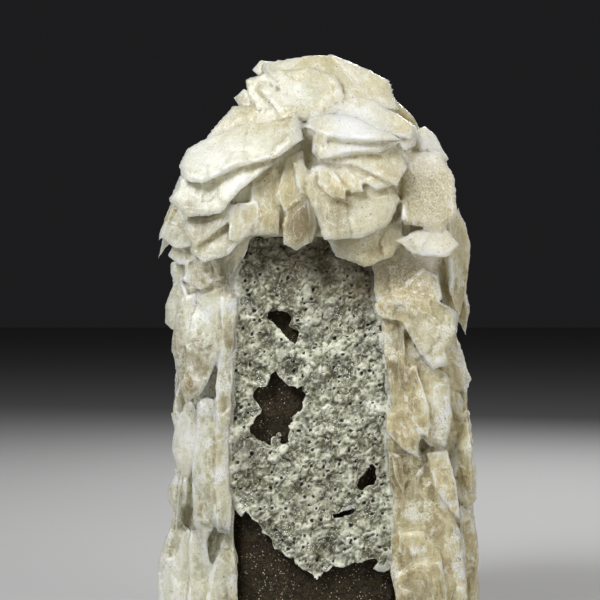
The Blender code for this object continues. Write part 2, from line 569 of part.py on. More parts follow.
def make_crust(collection):
    """The crust: a holed plate, cut into small cells, whose front is raised into lumps."""
    front = CRUST_BACK - CRUST_THICK
    crust = flat_outline("grey_crust", crust_loops(), front, CRUST_BACK, collection)
    bm = bmesh.new()
    bm.from_mesh(crust.data)
    for axis, low, high in ((0, WINDOW_LEFT[4][0], WINDOW_RIGHT[7][0]), (2, 12.0, 60.0)):
        normal = Vector((0, 0, 0))
        normal[axis] = 1.0
        at = low * MM + CRUST_CELL
        while at < high * MM:
            bmesh.ops.bisect_plane(
                bm, geom=bm.verts[:] + bm.edges[:] + bm.faces[:], dist=1e-7,
                plane_co=normal * at, plane_no=normal,
            )
            at += CRUST_CELL
    back = [v for v in bm.verts if v.co.y > CRUST_BACK - GAP]
    inner = [e for e in bm.edges if all(v.co.y > CRUST_BACK - GAP for v in e.verts)]
    bmesh.ops.dissolve_limit(bm, angle_limit=0.01, verts=back, edges=inner)
    bmesh.ops.triangulate(bm, faces=bm.faces[:])
    for v in bm.verts:
        if v.co.y < (front + CRUST_BACK) / 2:
            lump = noise.noise(v.co / CRUST_LUMP) + 0.5 * noise.noise(v.co / (CRUST_LUMP / 2))
            v.co.y -= CRUST_RELIEF * lump
    crust.data = mesh_from(bm, "grey_crust")
    crust.data.materials.append(stone_material("grey_crust", (0.48, 0.47, 0.42), 0.8))
    return crust


def make_crystals(collection, cutters):
    """The whole growth: the mass and the wall plates, less the window, and then the hood."""
    rng = random.Random(SEED)
    walls = collection_named("wall_plates")
    hood = collection_named("hood_plates")
    on_walls = [(facing(plate.yaw, plate.lift), front_rim(plate)) for plate in WALL_PLATES]
    on_hood = [(facing(plate.yaw, plate.lift), front_rim(plate)) for plate in HOOD_PLATES]
    add_plates(on_walls, "wall_plate", walls)
    add_plates(row_rims(rng), "row_plate", walls)
    add_plates(on_hood, "hood_plate", hood)
    growth = new_object("crystal_growth", ground_mass_mesh(), collection)
    far = 40 * MM
    window = hide(flat_outline("window_cut", [window_loop(0.0)], -far, CORE_LOW.y, cutters))
    pocket = hide(
        box_object(
            "pocket_cut", CORE_LOW - Vector((GAP, GAP, far)), CORE_HIGH + Vector((GAP,) * 3), cutters,
        )
    )
    clearance = hide(
        flat_outline(
            "crust_cut", [window_loop(GAP / MM)],
            CRUST_BACK - CRUST_THICK - CRUST_RELIEF * 1.5 - GAP, CORE_LOW.y, cutters,
        )
    )
    below = hide(
        box_object("foot_cut", Vector((-far, -far, -far)), Vector((far, far, 0.0)), cutters)
    )
    add_boolean(growth, "UNION", walls)
    add_boolean(growth, "DIFFERENCE", window)
    add_boolean(growth, "UNION", hood)
    add_boolean(growth, "DIFFERENCE", clearance)
    add_boolean(growth, "DIFFERENCE", pocket)
    add_boolean(growth, "DIFFERENCE", below)
    apply_modifiers(growth)
    keep_largest_body(growth)
    growth.data.materials.clear()
    growth.data.materials.append(stone_material("milky_quartz", (0.80, 0.76, 0.62), 0.4))
    return growth


def recentre(objects):
    """Moves the meshes so that the middle of their common box stands on the origin."""
    points = [v.co for obj in objects for v in obj.data.vertices]
    shift = Vector((
        -(min(p.x for p in points) + max(p.x for p in points)) / 2,
        -(min(p.y for p in points) + max(p.y for p in points)) / 2,
        0.0,
    ))
    for obj in objects:
        obj.data.transform(Matrix.Translation(shift))
    print("moved by", [round(v / MM, 3) for v in shift], "mm")


def main():
    clear_scene()
    specimen = collection_named("quartz_crystal_specimen")
    cutters = collection_named("cutters")
    parts = [make_core(specimen), make_crust(specimen), make_crystals(specimen, cutters)]
    recentre(parts)
    for obj in parts:
        print(obj.name, len(obj.data.polygons), "faces")


main()
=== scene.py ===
# %% [markdown]
# # A quartz crystal specimen
#
# The real thing is a dark stone pillar with a grey porous crust on its front. Milky crystals, thin
# plates with sharp bright rims, coat its sides, back and top and hang over the crust as a hood.
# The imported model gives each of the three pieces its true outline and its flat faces. This script
# grows the fine surface on them: wavy rims, growth steps, pits, grains, and the colours.

# %% Load the frame
import math

import bmesh
import bpy
import numpy as np
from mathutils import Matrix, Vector, noise
from mathutils.bvhtree import BVHTree
from mathutils.kdtree import KDTree


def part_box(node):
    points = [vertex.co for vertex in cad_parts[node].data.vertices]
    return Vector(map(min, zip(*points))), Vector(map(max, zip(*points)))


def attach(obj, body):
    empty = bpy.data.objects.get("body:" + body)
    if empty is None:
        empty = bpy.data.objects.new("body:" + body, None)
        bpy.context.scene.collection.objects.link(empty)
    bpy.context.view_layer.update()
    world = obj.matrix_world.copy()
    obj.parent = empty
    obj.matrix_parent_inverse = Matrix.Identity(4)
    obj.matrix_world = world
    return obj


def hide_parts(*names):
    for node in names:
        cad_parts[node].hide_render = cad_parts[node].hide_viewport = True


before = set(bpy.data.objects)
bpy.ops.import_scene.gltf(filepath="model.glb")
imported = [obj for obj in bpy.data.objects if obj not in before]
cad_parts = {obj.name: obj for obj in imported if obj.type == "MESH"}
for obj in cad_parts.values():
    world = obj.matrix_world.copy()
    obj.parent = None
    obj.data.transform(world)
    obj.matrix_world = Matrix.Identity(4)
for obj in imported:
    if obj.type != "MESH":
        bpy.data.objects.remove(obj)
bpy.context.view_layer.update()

MM = 0.001

# %% [markdown]
# ## The camera
#
# The photograph looks level at the front, from about five times the specimen's width, and its lower
# edge cuts the foot off. It shows 0.15 mm in each pixel. The solids were centred after they were
# modelled. The core's box tells by how much, because its middle and its back were known before.

# %% Camera
PIXEL = 0.15 * MM
PICTURE = 600
LENS = 100
SENSOR = 36
PICTURE_MIDDLE = Vector((-3, -12, 54)) * MM
CORE_MIDDLE = -0.6 * MM
CORE_BACK = 7.0 * MM
core_low, core_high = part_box("stone_core")
CENTRING = Vector(((core_low.x + core_high.x) / 2 - CORE_MIDDLE, core_high.y - CORE_BACK, 0.0))
distance = PIXEL * PICTURE * LENS / SENSOR

camera = bpy.data.objects.new("camera", bpy.data.cameras.new("camera"))
bpy.context.scene.collection.objects.link(camera)
camera.data.lens = LENS
camera.data.sensor_width = SENSOR
camera.data.clip_start = 0.01
camera.location = CENTRING + PICTURE_MIDDLE + Vector((0, -distance, 0))
camera.rotation_euler = (math.radians(90), 0, 0)
bpy.context.scene.camera = camera
print("camera stands", round(distance / MM), "mm in front")
print("centring", [round(c / MM, 2) for c in CENTRING])

# %% [markdown]
# ## From flat facets to a fine skin
#
# A crystal plate is flat from a step away and never quite flat close by. So each piece starts as a
# copy of its solid, and a voxel remesh turns the large triangles into an even net of small ones,
# which also rounds every edge a little. Before that, the copy tells what each place on the skin is:
# how far the nearest sharp rim is, how far the nearest inner corner, and which facet it lies on.

# %% Copy a solid
def merged_copy(node):
    """A copy of a CAD node's mesh, with its loose triangles joined along their edges."""
    bm = bmesh.new()
    bm.from_mesh(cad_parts[node].data)
    bmesh.ops.remove_doubles(bm, verts=bm.verts[:], dist=1e-7)
    bm.faces.ensure_lookup_table()
    return bm


def fine_net(bm, name, voxel):
    """A mesh object of even small faces that follows the copy."""
    mesh = bpy.data.meshes.new(name)
    bm.to_mesh(mesh)
    obj = bpy.data.objects.new(name, mesh)
    bpy.context.scene.collection.objects.link(obj)
    remesh = obj.modifiers.new("net", "REMESH")
    remesh.mode = "VOXEL"
    remesh.voxel_size = voxel
    graph = bpy.context.evaluated_depsgraph_get()
    obj.data = bpy.data.meshes.new_from_object(obj.evaluated_get(graph))
    obj.modifiers.clear()
    obj.data.name = name
    print(name, len(obj.data.vertices), "corners")
    return obj


# %% Read the facets
RIM_ANGLE = math.radians(38)
SEAM_ANGLE = math.radians(-20)
FLAT_ANGLE = math.radians(2)
EDGE_STEP = 0.3 * MM


def edge_points(bm, wanted):
    """Points along the edges whose signed angle is wanted, in a tree that finds the nearest."""
    points = []
    for edge in bm.edges:
        if len(edge.link_faces) == 2 and wanted(edge.calc_face_angle_signed()):
            count = max(1, int(edge.calc_length() / EDGE_STEP))
            a, b = (v.co for v in edge.verts)
            points.extend(a.lerp(b, (i + 0.5) / count) for i in range(count))
    tree = KDTree(len(points))
    for i, point in enumerate(points):
        tree.insert(point, i)
    tree.balance()
    return tree


def facet_numbers(bm):
    """A number for each face, the same for all faces of one flat facet, and how many there are."""
    number = [-1] * len(bm.faces)
    count = 0
    for start in bm.faces:
        if number[start.index] >= 0:
            continue
        number[start.index] = count
        todo = [start]
        while todo:
            face = todo.pop()
            for edge in face.edges:
                for other in edge.link_faces:
                    if number[other.index] < 0 and edge.calc_face_angle(9) < FLAT_ANGLE:
                        number[other.index] = count
                        todo.append(other)
        count += 1
    return number, count


# %% Numbers for every corner
def corner_places(mesh):
    places = np.empty(len(mesh.vertices) * 3, np.float32)
    mesh.vertices.foreach_get("co", places)
    return places.reshape(-1, 3)


def corner_normals(mesh):
    normals = np.empty(len(mesh.vertices) * 3, np.float32)
    mesh.vertex_normals.foreach_get("vector", normals)
    return normals.reshape(-1, 3)


def set_places(mesh, places):
    mesh.vertices.foreach_set("co", places.astype(np.float32).ravel())
    mesh.update()


def noise_at(places, size, seed):
    """Smooth noise from -1 to 1 at each place, with lumps of the given size."""
    shift = Vector((seed, seed * 1.7, -seed))
    return np.array([noise.noise(Vector(p) / size + shift) for p in places])


def noise_vectors(places, size):
    return np.array([noise.noise_vector(Vector(p) / size) for p in places])


def distances(tree, places):
    return np.array([tree.find(p)[2] for p in places])


def proud(mesh, spacing):
    """How far each corner stands out of its neighbours, as a share of their spacing.

    It is above 0 on an outer edge and below 0 in an inner corner."""
    places, normals = corner_places(mesh), corner_normals(mesh)
    pairs = np.empty(len(mesh.edges) * 2, np.int32)
    mesh.edges.foreach_get("vertices", pairs)
    first, second = pairs.reshape(-1, 2).T
    total = np.zeros((len(places), 3))
    count = np.zeros(len(places))
    for one, other in ((first, second), (second, first)):
        count += np.bincount(one, minlength=len(places))
        for axis in range(3):
            total[:, axis] += np.bincount(one, places[other, axis], minlength=len(places))
    middle = total / np.maximum(count, 1)[:, None]
    return ((places - middle) * normals).sum(axis=1) / spacing


def keep_numbers(mesh, name, values):
    """Stores one number a corner, for the materials to read."""
    layer = mesh.attributes.new(name, "FLOAT", "POINT")
    layer.data.foreach_set("value", values.astype(np.float32))


# %% [markdown]
# ## The crystals
#
# A real plate has low terraces along its rim, which it left as it grew, and its face is broken into
# small facets that lean a little. Some hollows are grainy. All of that is moved along the skin's
# normal, by heights worked out for every corner of the net. Last, two sizes of smooth noise push the
# whole skin about, so that no rim stays straight.
#
# The same distances are stored on the corners, in millimetres, and the material draws thin lines
# with them. Stored so, they stay exact when the flat places are thinned out afterwards.

# %% Crystal skin
CRYSTAL_VOXEL = 0.28 * MM
CRYSTAL_TRIANGLES = 190_000
CREASE_ANGLE = math.radians(35)
WAVES = ((4.0 * MM, 0.26 * MM), (1.5 * MM, 0.10 * MM))
STEP_WIDTH = 0.9 * MM
STEP_HEIGHT = 0.04 * MM
STEP_COUNT = 5
STEP_FLAT = 0.75
CHIP_SIZE = 3.2 * MM
CHIP_TILT = 0.09
CHIP_STRETCH = np.array([1.0, 1.0, 1.8])
CHIP_WARP = 0.12
GRAIN_SIZE = 0.7 * MM
GRAIN_HEIGHT = 0.16 * MM
HOLLOW_WIDTH = 0.9 * MM
HOOD_FOOT = 62
FARTHEST_STORED = 6

copy = merged_copy("crystal_growth")
rims = edge_points(copy, lambda angle: angle > RIM_ANGLE)
seams = edge_points(copy, lambda angle: angle < SEAM_ANGLE)
numbers, facet_count = facet_numbers(copy)
skin_tree = BVHTree.FromBMesh(copy)
crystals = fine_net(copy, "milky_crystals", CRYSTAL_VOXEL)
copy.free()
print(facet_count, "facets")

places = corner_places(crystals.data)
normals = corner_normals(crystals.data)
rim_far = distances(rims, places)
seam_far = distances(seams, places)
facet = np.array([numbers[skin_tree.find_nearest(Vector(p))[2]] for p in places])

# %% Places that are warmer, in painted shade or painted glare, or grainier
# X, Z and radius in mm before centring, then how strong. A negative warm spot is cooler, and a
# negative shade spot is paler, a painted highlight.
WARM_PLACES = (
    (-6.5, 67.5, 4.5, 1.0), (13.0, 57.0, 5.0, 1.0), (8.0, 61.0, 5.0, 0.5), (12.0, 40.0, 6.0, 0.5),
    (16.0, 20.0, 12.0, 0.45), (-14.0, 79.0, 5.0, 0.35), (9.0, 86.0, 5.0, 0.3),
    (-20.0, 45.0, 12.0, -0.6), (-18.0, 72.0, 8.0, -0.6), (-20.0, 20.0, 12.0, -0.6),
    (-5.0, 85.0, 4.5, -0.5),
)
WARM_START = 0.35
WARM_GAIN = 0.5
WARM_PER_MM = 0.012
# Above 0 a spot is painted shade, darker; below 0 it is a painted glare highlight, paler.
SHADE_AND_GLARE_PLACES = (
    (-3.0, 65.0, 3.2, 0.9), (7.0, 60.5, 3.5, 0.5), (11.0, 44.0, 3.5, 0.6), (11.0, 27.0, 5.0, 0.45),
    (-15.0, 57.0, 3.0, 0.4), (1.5, 70.5, 2.5, 0.3), (5.0, 68.5, 3.5, 0.25), (-8.0, 72.0, 3.0, 0.3),
    (-13.0, 48.0, 3.0, 0.3), (-16.5, 52.5, 3.0, -0.9), (-15.0, 75.5, 6.0, -0.5),
    (5.0, 79.5, 4.0, -0.8), (15.5, 61.8, 3.0, -0.8), (16.5, 77.5, 2.5, -0.8),
    (-21.0, 33.0, 4.0, -0.6), (-23.5, 8.0, 6.0, -0.5), (21.0, 31.5, 2.0, -0.6),
    (14.5, 46.0, 1.6, -0.7), (17.0, 38.0, 2.5, -0.5), (-4.5, 85.5, 3.5, -0.35),
    (-16.0, 69.3, 2.6, 0.35), (-20.0, 68.5, 2.6, 0.35), (-18.0, 64.0, 4.0, 0.40),
    (-13.0, 63.0, 2.5, 0.25), (17.0, 74.0, 3.5, -0.35), (5.5, 76.5, 4.5, -0.2),
    (6.5, 61.0, 3.0, -0.3), (7.0, 83.0, 3.0, -0.2),
)
WALL_DARKER = 0.2
GRAINY_PLACES = (
    (16.5, 70.5, 5.5, 1.0), (12.5, 57.5, 4.5, 1.0), (14.5, 47.5, 1.8, 0.7), (-15.0, 80.5, 4.0, 0.4),
)


def spread(places, spots):
    """The sum of soft round spots on the front, at each place."""
    total = np.zeros(len(places))
    for x, z, radius, strength in spots:
        across = places[:, 0] - (x * MM + CENTRING.x)
        up = places[:, 2] - z * MM
        total += strength * np.exp(-(across**2 + up**2) / (radius * MM) ** 2)
    return total


warm = WARM_START + WARM_GAIN * spread(places, WARM_PLACES) + WARM_PER_MM * places[:, 0] / MM
grainy = np.clip(spread(places, GRAINY_PLACES) * (places[:, 1] < 0), 0, 1)
rng = np.random.default_rng(7)
tint = rng.random(facet_count)[facet]
below_hood = np.clip((HOOD_FOOT - places[:, 2] / MM) / 6, 0, 1)
# shade: painted shade and painted glare from the spots, and darker walls below the hood.
shade = np.clip(spread(places, SHADE_AND_GLARE_PLACES) + WALL_DARKER * below_hood, -1, 1)

# %% Small facets
def chipped(places):
    """Cuts each plate into small facets that lean a little, each its own way.

    Every place belongs to the nearest of some thousand random points, drawn out along Z."""
    drawn = places / CHIP_STRETCH / CHIP_SIZE
    low, high = drawn.min(axis=0), drawn.max(axis=0)
    seeds = rng.uniform(low, high, (int(np.prod(high - low)), 3))
    tree = KDTree(len(seeds))
    for i, seed in enumerate(seeds):
        tree.insert(seed, i)
    tree.balance()
    pairs = [tree.find_n(p + CHIP_WARP * noise.noise_vector(p), 2) for p in map(Vector, drawn)]
    owner = np.array([pair[0][1] for pair in pairs])
    to_edge = np.array([pair[1][2] - pair[0][2] for pair in pairs]) * CHIP_SIZE / 2
    lean = rng.normal(0, CHIP_TILT, (len(seeds), 3))[owner]
    height = ((drawn - seeds[owner]) * lean).sum(axis=1) * CHIP_SIZE
    return height, rng.random(len(seeds))[owner], to_edge


# %% Shape the skin
broken = noise_at(places, 2.6 * MM, 3.0)
steps = np.clip(rim_far / STEP_WIDTH + 1.2 * broken, 0, STEP_COUNT)
rise = steps - np.floor(steps)
terrace = np.floor(steps) + np.clip((rise - STEP_FLAT) / (1 - STEP_FLAT), 0, 1)
hollow = np.exp(-seam_far / HOLLOW_WIDTH)
grains = np.abs(noise_at(places, GRAIN_SIZE, 1.0)) + 0.5 * np.abs(noise_at(places, GRAIN_SIZE / 2, 2.0))
chips, chip_number, chip_edge = chipped(places)
grains *= np.clip(grainy + 0.5 * hollow, 0, 1)
push = STEP_HEIGHT * (terrace - STEP_COUNT / 2) + GRAIN_HEIGHT * grains
smooth_hood = np.clip((places[:, 2] / MM - HOOD_FOOT) / 8, 0, 0.6)
push += chips * np.clip(rim_far / (0.8 * MM), 0.25, 1) * (1 - smooth_hood)
moved = places + normals * push[:, None]
for size, height in WAVES:
    moved += noise_vectors(places, size) * height
moved[:, 2] = np.maximum(moved[:, 2], 0.0)
set_places(crystals.data, moved)
for name, values in (
    ("rim_mm", np.minimum(rim_far / MM, FARTHEST_STORED)),
    ("seam_mm", np.minimum(seam_far / MM, FARTHEST_STORED)),
    ("chip_mm", chip_edge / MM), ("chip", chip_number), ("steps", steps), ("tint", tint),
    ("warm", warm), ("grainy", grainy), ("shade", shade), ("wall", below_hood),
):
    keep_numbers(crystals.data, name, values)
print("skin pushed by up to", round(float(np.abs(push).max()) / MM, 2), "mm")

# %% Thin out the flat places
def thinned(obj, triangles):
    """Leaves about so many triangles, most of them where the skin bends, and keeps sharp creases."""
    fewer = obj.modifiers.new("fewer", "DECIMATE")
    fewer.ratio = triangles / sum(len(p.vertices) - 2 for p in obj.data.polygons)
    graph = bpy.context.evaluated_depsgraph_get()
    obj.data = bpy.data.meshes.new_from_object(obj.evaluated_get(graph))
    obj.modifiers.clear()
    obj.data.name = obj.name
    print(obj.name, len(obj.data.polygons), "faces left;", list(obj.data.attributes.keys()))


thinned(crystals, CRYSTAL_TRIANGLES)

# %% [markdown]
# ## The crust
#
# The crust is a thin sheet of fused grains, 1 to 3 mm across, full of round pores. The grains are
# knobs with creases between them, one round each of many random points. The pores are real pits in
# the net, placed by a jittered grid, because from the side a painted dot looks flat. The outer edge
# is pushed outwards to close the gap to the crystals, and a few crumbs lie in the large hole.

# %% Crust skin
CRUST_VOXEL = 0.20 * MM
LUMPS = ((3.0 * MM, 0.6 * MM), (1.3 * MM, 0.42 * MM), (0.55 * MM, 0.22 * MM))
KNOB_SIZE = 1.9 * MM
KNOB_HEIGHT = 0.34 * MM
KNOB_WARP = (1.1 * MM, 0.8 * MM)
PORE_PITCH = 1.7 * MM
PORE_RADIUS = (0.04 * MM, 0.32 * MM)
PORE_DEPTH = 0.35 * MM
CRUMBS_AT = Vector((-6.9, 0, 32.6)) * MM
CRUMB_COUNT = 7
CRUMB_DEPTH = 0.7 * MM
EDGE_PUSH = 1.2 * MM
# How far out, in mm before centring, the crust's edge is: left, right, and right above some height
EDGE_LEFT, EDGE_RIGHT, EDGE_RIGHT_ABOVE, EDGE_ABOVE = -11.3, 8.9, 6.8, 50
# Browner spots; those under the hood are a stain together with the hood's painted shadow.
STAIN_AND_SHADOW_PLACES = (
    (-4.0, 62.5, 7.5, 1.0), (4.0, 60.0, 6.0, 0.9), (8.0, 56.0, 4.0, 0.7), (-12.0, 48.0, 3.5, 0.5),
    (-11.5, 30.0, 3.5, 0.5), (9.0, 31.0, 3.5, 0.4), (-2.0, 25.0, 4.0, 0.25), (1.0, 43.0, 3.0, -0.3),
)


def knobs(places):
    """Rounded grains with creases between them, each round its own random point on the front."""
    low, high = places.min(axis=0), places.max(axis=0)
    count = int((high - low)[0] * (high - low)[2] / KNOB_SIZE**2)
    middles = KDTree(count)
    for i in range(count):
        middles.insert((rng.uniform(low[0], high[0]), 0, rng.uniform(low[2], high[2])), i)
    middles.balance()
    size, reach = KNOB_WARP
    shifted = places + noise_vectors(places, size) * reach
    pairs = [middles.find_n((p[0], 0, p[2]), 2) for p in shifted]
    crease = np.array([pair[1][2] - pair[0][2] for pair in pairs])
    return KNOB_HEIGHT * (np.sqrt(np.clip(crease / KNOB_SIZE, 0, 1)) - 0.5)


# %% Crust net, with crumbs in its large hole
copy = merged_copy("grey_crust")
crust_low, crust_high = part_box("grey_crust")
for i in range(CRUMB_COUNT):
    made = bmesh.ops.create_icosphere(copy, subdivisions=2, radius=(0.4 + 0.35 * rng.random()) * MM)
    place = CENTRING + CRUMBS_AT + Vector((rng.normal(0, 0.9), 0, rng.normal(0, 0.45))) * MM
    place.y = crust_high.y - CRUMB_DEPTH
    bmesh.ops.translate(copy, verts=made["verts"], vec=place)
crust = fine_net(copy, "porous_crust", CRUST_VOXEL)
copy.free()
places = corner_places(crust.data)
normals = corner_normals(crust.data)

# %% Pores, and the crust's new skin
columns = int((crust_high.x - crust_low.x) / PORE_PITCH) + 2
rows = int((crust_high.z - crust_low.z) / PORE_PITCH) + 2
pores = KDTree(columns * rows)
radii = []
for i in range(columns * rows):
    x = crust_low.x + (i % columns + rng.uniform(-0.6, 0.6)) * PORE_PITCH
    z = crust_low.z + (i // columns + rng.uniform(-0.6, 0.6)) * PORE_PITCH
    pores.insert((x, 0, z), i)
    radii.append(rng.uniform(*PORE_RADIUS))
pores.balance()
near = [pores.find((p[0], 0, p[2])) for p in places]
pit = np.array([max(0.0, 1 - (n[2] / radii[n[1]]) ** 2) for n in near])
on_front = normals[:, 1] < -0.3
pit = np.sqrt(pit) * on_front
lumps = sum(h * noise_at(places, s, 5.0) for s, h in LUMPS) + knobs(places)
sideways = 1 - np.abs(normals[:, 1])
across = (places[:, 0] - CENTRING.x) / MM
above = (across > EDGE_RIGHT_ABOVE) & (places[:, 2] > EDGE_ABOVE * MM)
outer = (across < EDGE_LEFT) | (across > EDGE_RIGHT) | above
push = lumps * on_front - PORE_DEPTH * pit + EDGE_PUSH * sideways * outer
ragged = noise_vectors(places, 1.3 * MM) * (0.15 + 0.45 * sideways)[:, None] * MM
moved = places + normals * push[:, None] + ragged
set_places(crust.data, moved)
keep_numbers(crust.data, "pit", pit)
keep_numbers(crust.data, "edge", proud(crust.data, CRUST_VOXEL))
keep_numbers(crust.data, "lump", np.clip(0.5 + lumps / (0.9 * MM), 0, 1))
keep_numbers(crust.data, "stain_and_hood_shadow", spread(places, STAIN_AND_SHADOW_PLACES))
print(columns * rows, "pores")

# %% [markdown]
# ## The pillar
#
# Broken dark stone, seen through the holes and at the foot alone. Two sizes of noise roughen it.

# %% Stone skin
STONE_VOXEL = 0.4 * MM
STONE_LUMPS = ((3.0 * MM, 0.22 * MM, 8.0), (1.0 * MM, 0.12 * MM, 9.0))

copy = merged_copy("stone_core")
stone = fine_net(copy, "dark_stone_pillar", STONE_VOXEL)
copy.free()
places = corner_places(stone.data)
normals = corner_normals(stone.data)
rough = sum(height * noise_at(places, size, seed) for size, height, seed in STONE_LUMPS)
moved = places + normals * rough[:, None]
moved[:, 2] = np.maximum(moved[:, 2], 0.0)
set_places(stone.data, moved)

# %% [markdown]
# ## Finishes
#
# Small helpers keep the node trees readable: one makes a node and sets its inputs, one mixes
# colours, and one, span, bends a number from one range into another.

# %% Node helpers
class Finish:
    """One material, and short ways to add nodes to it."""

    def __init__(self, name, **sockets):
        self.material = bpy.data.materials.new(name)
        self.material.use_nodes = True
        self.tree = self.material.node_tree
        self.shader = self.tree.nodes["Principled BSDF"]
        self.place = self.tree.nodes.new("ShaderNodeTexCoord").outputs["Object"]
        for socket, value in sockets.items():
            self.shader.inputs[socket.replace("_", " ")].default_value = value

    def add(self, kind, inputs=(), **settings):
        node = self.tree.nodes.new("ShaderNode" + kind)
        for key, value in settings.items():
            setattr(node, key, value)
        for key, value in dict(inputs).items():
            if isinstance(value, bpy.types.NodeSocket):
                self.tree.links.new(value, node.inputs[key])
            else:
                node.inputs[key].default_value = value
        return node

    def noise(self, size, detail, stretch=(1, 1, 1)):
        """Noise with lumps of a size in metres, drawn out along an axis by a small stretch."""
        spot = self.add("Mapping", {"Vector": self.place, "Scale": stretch}).outputs[0]
        return self.add(
            "TexNoise", {"Vector": spot, "Scale": 1 / size, "Detail": detail, "Roughness": 0.6},
        ).outputs[0]

    def cells(self, size, output="Distance"):
        """How far the middle of the nearest random cell is, or its own random colour."""
        return self.add("TexVoronoi", {"Vector": self.place, "Scale": 1 / size}).outputs[output]

    def value(self, name):
        """A number that was stored on the corners."""
        return self.add("Attribute", attribute_name=name).outputs["Fac"]

    def span(self, value, low, high, to_low=0.0, to_high=1.0):
        """Bends a number from one range into another, and holds it at the ends."""
        return self.add(
            "MapRange",
            {"Value": value, "From Min": low, "From Max": high, "To Min": to_low, "To Max": to_high},
        ).outputs[0]

    def math(self, operation, a, b=0.0):
        return self.add("Math", {0: a, 1: b}, operation=operation).outputs[0]

    def mix(self, factor, a, b):
        """A share of colour b over colour a."""
        node = self.add("Mix", data_type="RGBA")
        for key, value in ((0, factor), (6, a), (7, b)):
            if isinstance(value, bpy.types.NodeSocket):
                self.tree.links.new(value, node.inputs[key])
            else:
                node.inputs[key].default_value = value
        return node.outputs[2]

    def bump(self, height, depth, under=None):
        inputs = {"Height": height, "Distance": depth, "Strength": 1.0}
        if under:
            inputs["Normal"] = under
        return self.add("Bump", inputs).outputs[0]

    def connect(self, socket, value):
        self.tree.links.new(value, self.shader.inputs[socket])


# %% [markdown]
# ## Milky quartz
#
# Clear quartz would be plain transmission. This growth is full of tiny bubbles and cracks, so light
# goes in a few millimetres and comes out again. That is subsurface scattering, with only a small
# share of transmission. Its colour goes from cool to warm over the specimen, and painted shade makes
# it warmer and darker near the inner corners. It is paler in frosty patches and darker in patches
# along the seams. Painted highlights make it paler along each rim and in listed glare spots, painted
# shade darkens other listed spots, and the walls below the hood are darker. Painted highlights also
# draw thin white lines along the sharp rims, the edges between facets and the rungs of the terraces,
# from the stored distances.

# %% Colours of the quartz
COOL, WARM = (0.68, 0.69, 0.555, 1), (0.64, 0.565, 0.32, 1)
PALE_TONE_AND_HIGHLIGHT, DARK_TONE_AND_SHADE = (0.96, 0.97, 0.92, 1), (0.26, 0.20, 0.09, 1)
SAND_DARK, SAND_PALE = (0.32, 0.25, 0.12, 1), (0.84, 0.78, 0.56, 1)
DUST_PALE, DUST_DARK = (0.98, 0.97, 0.90, 1), (0.34, 0.28, 0.15, 1)
SPECK, SEAM_DARK = (0.12, 0.08, 0.04, 1), (0.20, 0.14, 0.06, 1)
RIM_LINE_HIGHLIGHT = (0.98, 0.98, 0.92, 1)


def how_warm(f, seam, tint):
    """From 0, cool, to 1, warm."""
    warm = f.math("ADD", f.value("warm"), f.span(tint, 0, 1, -0.15, 0.15))
    warm = f.math("ADD", warm, f.span(f.noise(5 * MM, 3), 0.3, 0.7, -0.25, 0.25))
    # Painted shade: warmer and darker within 3 mm of an inner corner.
    return f.math("ADD", warm, f.span(seam, 3, 0, -0.1, 0.5))


def paleness_with_painted_light(f, rim, tint, streak, dust):
    """Above 0 the quartz is paler, below 0 darker. The hood is more even than the walls."""
    chip = f.span(f.value("chip"), 0, 1, -0.15, 0.15)
    pale = f.math("ADD", f.span(streak, 0.50, 0.74, 0, 0.3), chip)
    pale = f.math("ADD", pale, f.span(tint, 0, 1, -0.15, 0.15))
    # Painted highlight: paler within about a millimetre of each rim.
    pale = f.math("ADD", pale, f.span(rim, 0, 0.9, 0.22, -0.05))
    veil = f.span(f.noise(1.8 * MM, 5, (1, 1, 0.5)), 0.42, 0.66, -0.12, 0.30)
    veil = f.math("ADD", veil, f.span(f.noise(0.8 * MM, 5), 0.38, 0.62, -0.16, 0.16))
    patch = f.span(f.noise(3.2 * MM, 4), 0.53, 0.64)
    frost = f.math("MULTIPLY", patch, f.span(dust, 0.40, 0.58, 0.2, 1.0))
    veil = f.math("MULTIPLY", f.math("ADD", veil, frost), f.span(f.value("wall"), 0, 1, 0.4, 1.1))
    # Minus shade: painted shade in the dark spots, painted glare where it is below 0.
    return f.math("SUBTRACT", f.math("ADD", pale, veil), f.value("shade"))


# %% White lines of painted highlight
def painted_edge_highlights(f, rim):
    """Painted white highlights at the rims, at the edges between facets and on the terraces' rungs."""
    ragged = f.noise(1.5 * MM, 6, (1, 1, 0.6))
    width = f.span(ragged, 0.42, 0.70, 0.03, 0.30)
    rim_highlight = f.span(f.math("SUBTRACT", rim, width), 0, 0.08, 1, 0)
    rim_highlight = f.math("MULTIPLY", rim_highlight, f.span(f.value("shade"), 0.2, 0.8, 0.75, 0.1))
    facet_edge_highlight = f.span(f.value("chip_mm"), 0.02, 0.07, f.span(ragged, 0.48, 0.60, 0, 0.6), 0)
    in_step = f.math("FRACT", f.value("steps"))
    rung_highlight = f.span(in_step, 0.80, 0.95, 0, f.span(ragged, 0.40, 0.60, 0, 0.5))
    return f.math("MAXIMUM", f.math("MAXIMUM", rim_highlight, facet_edge_highlight), rung_highlight)


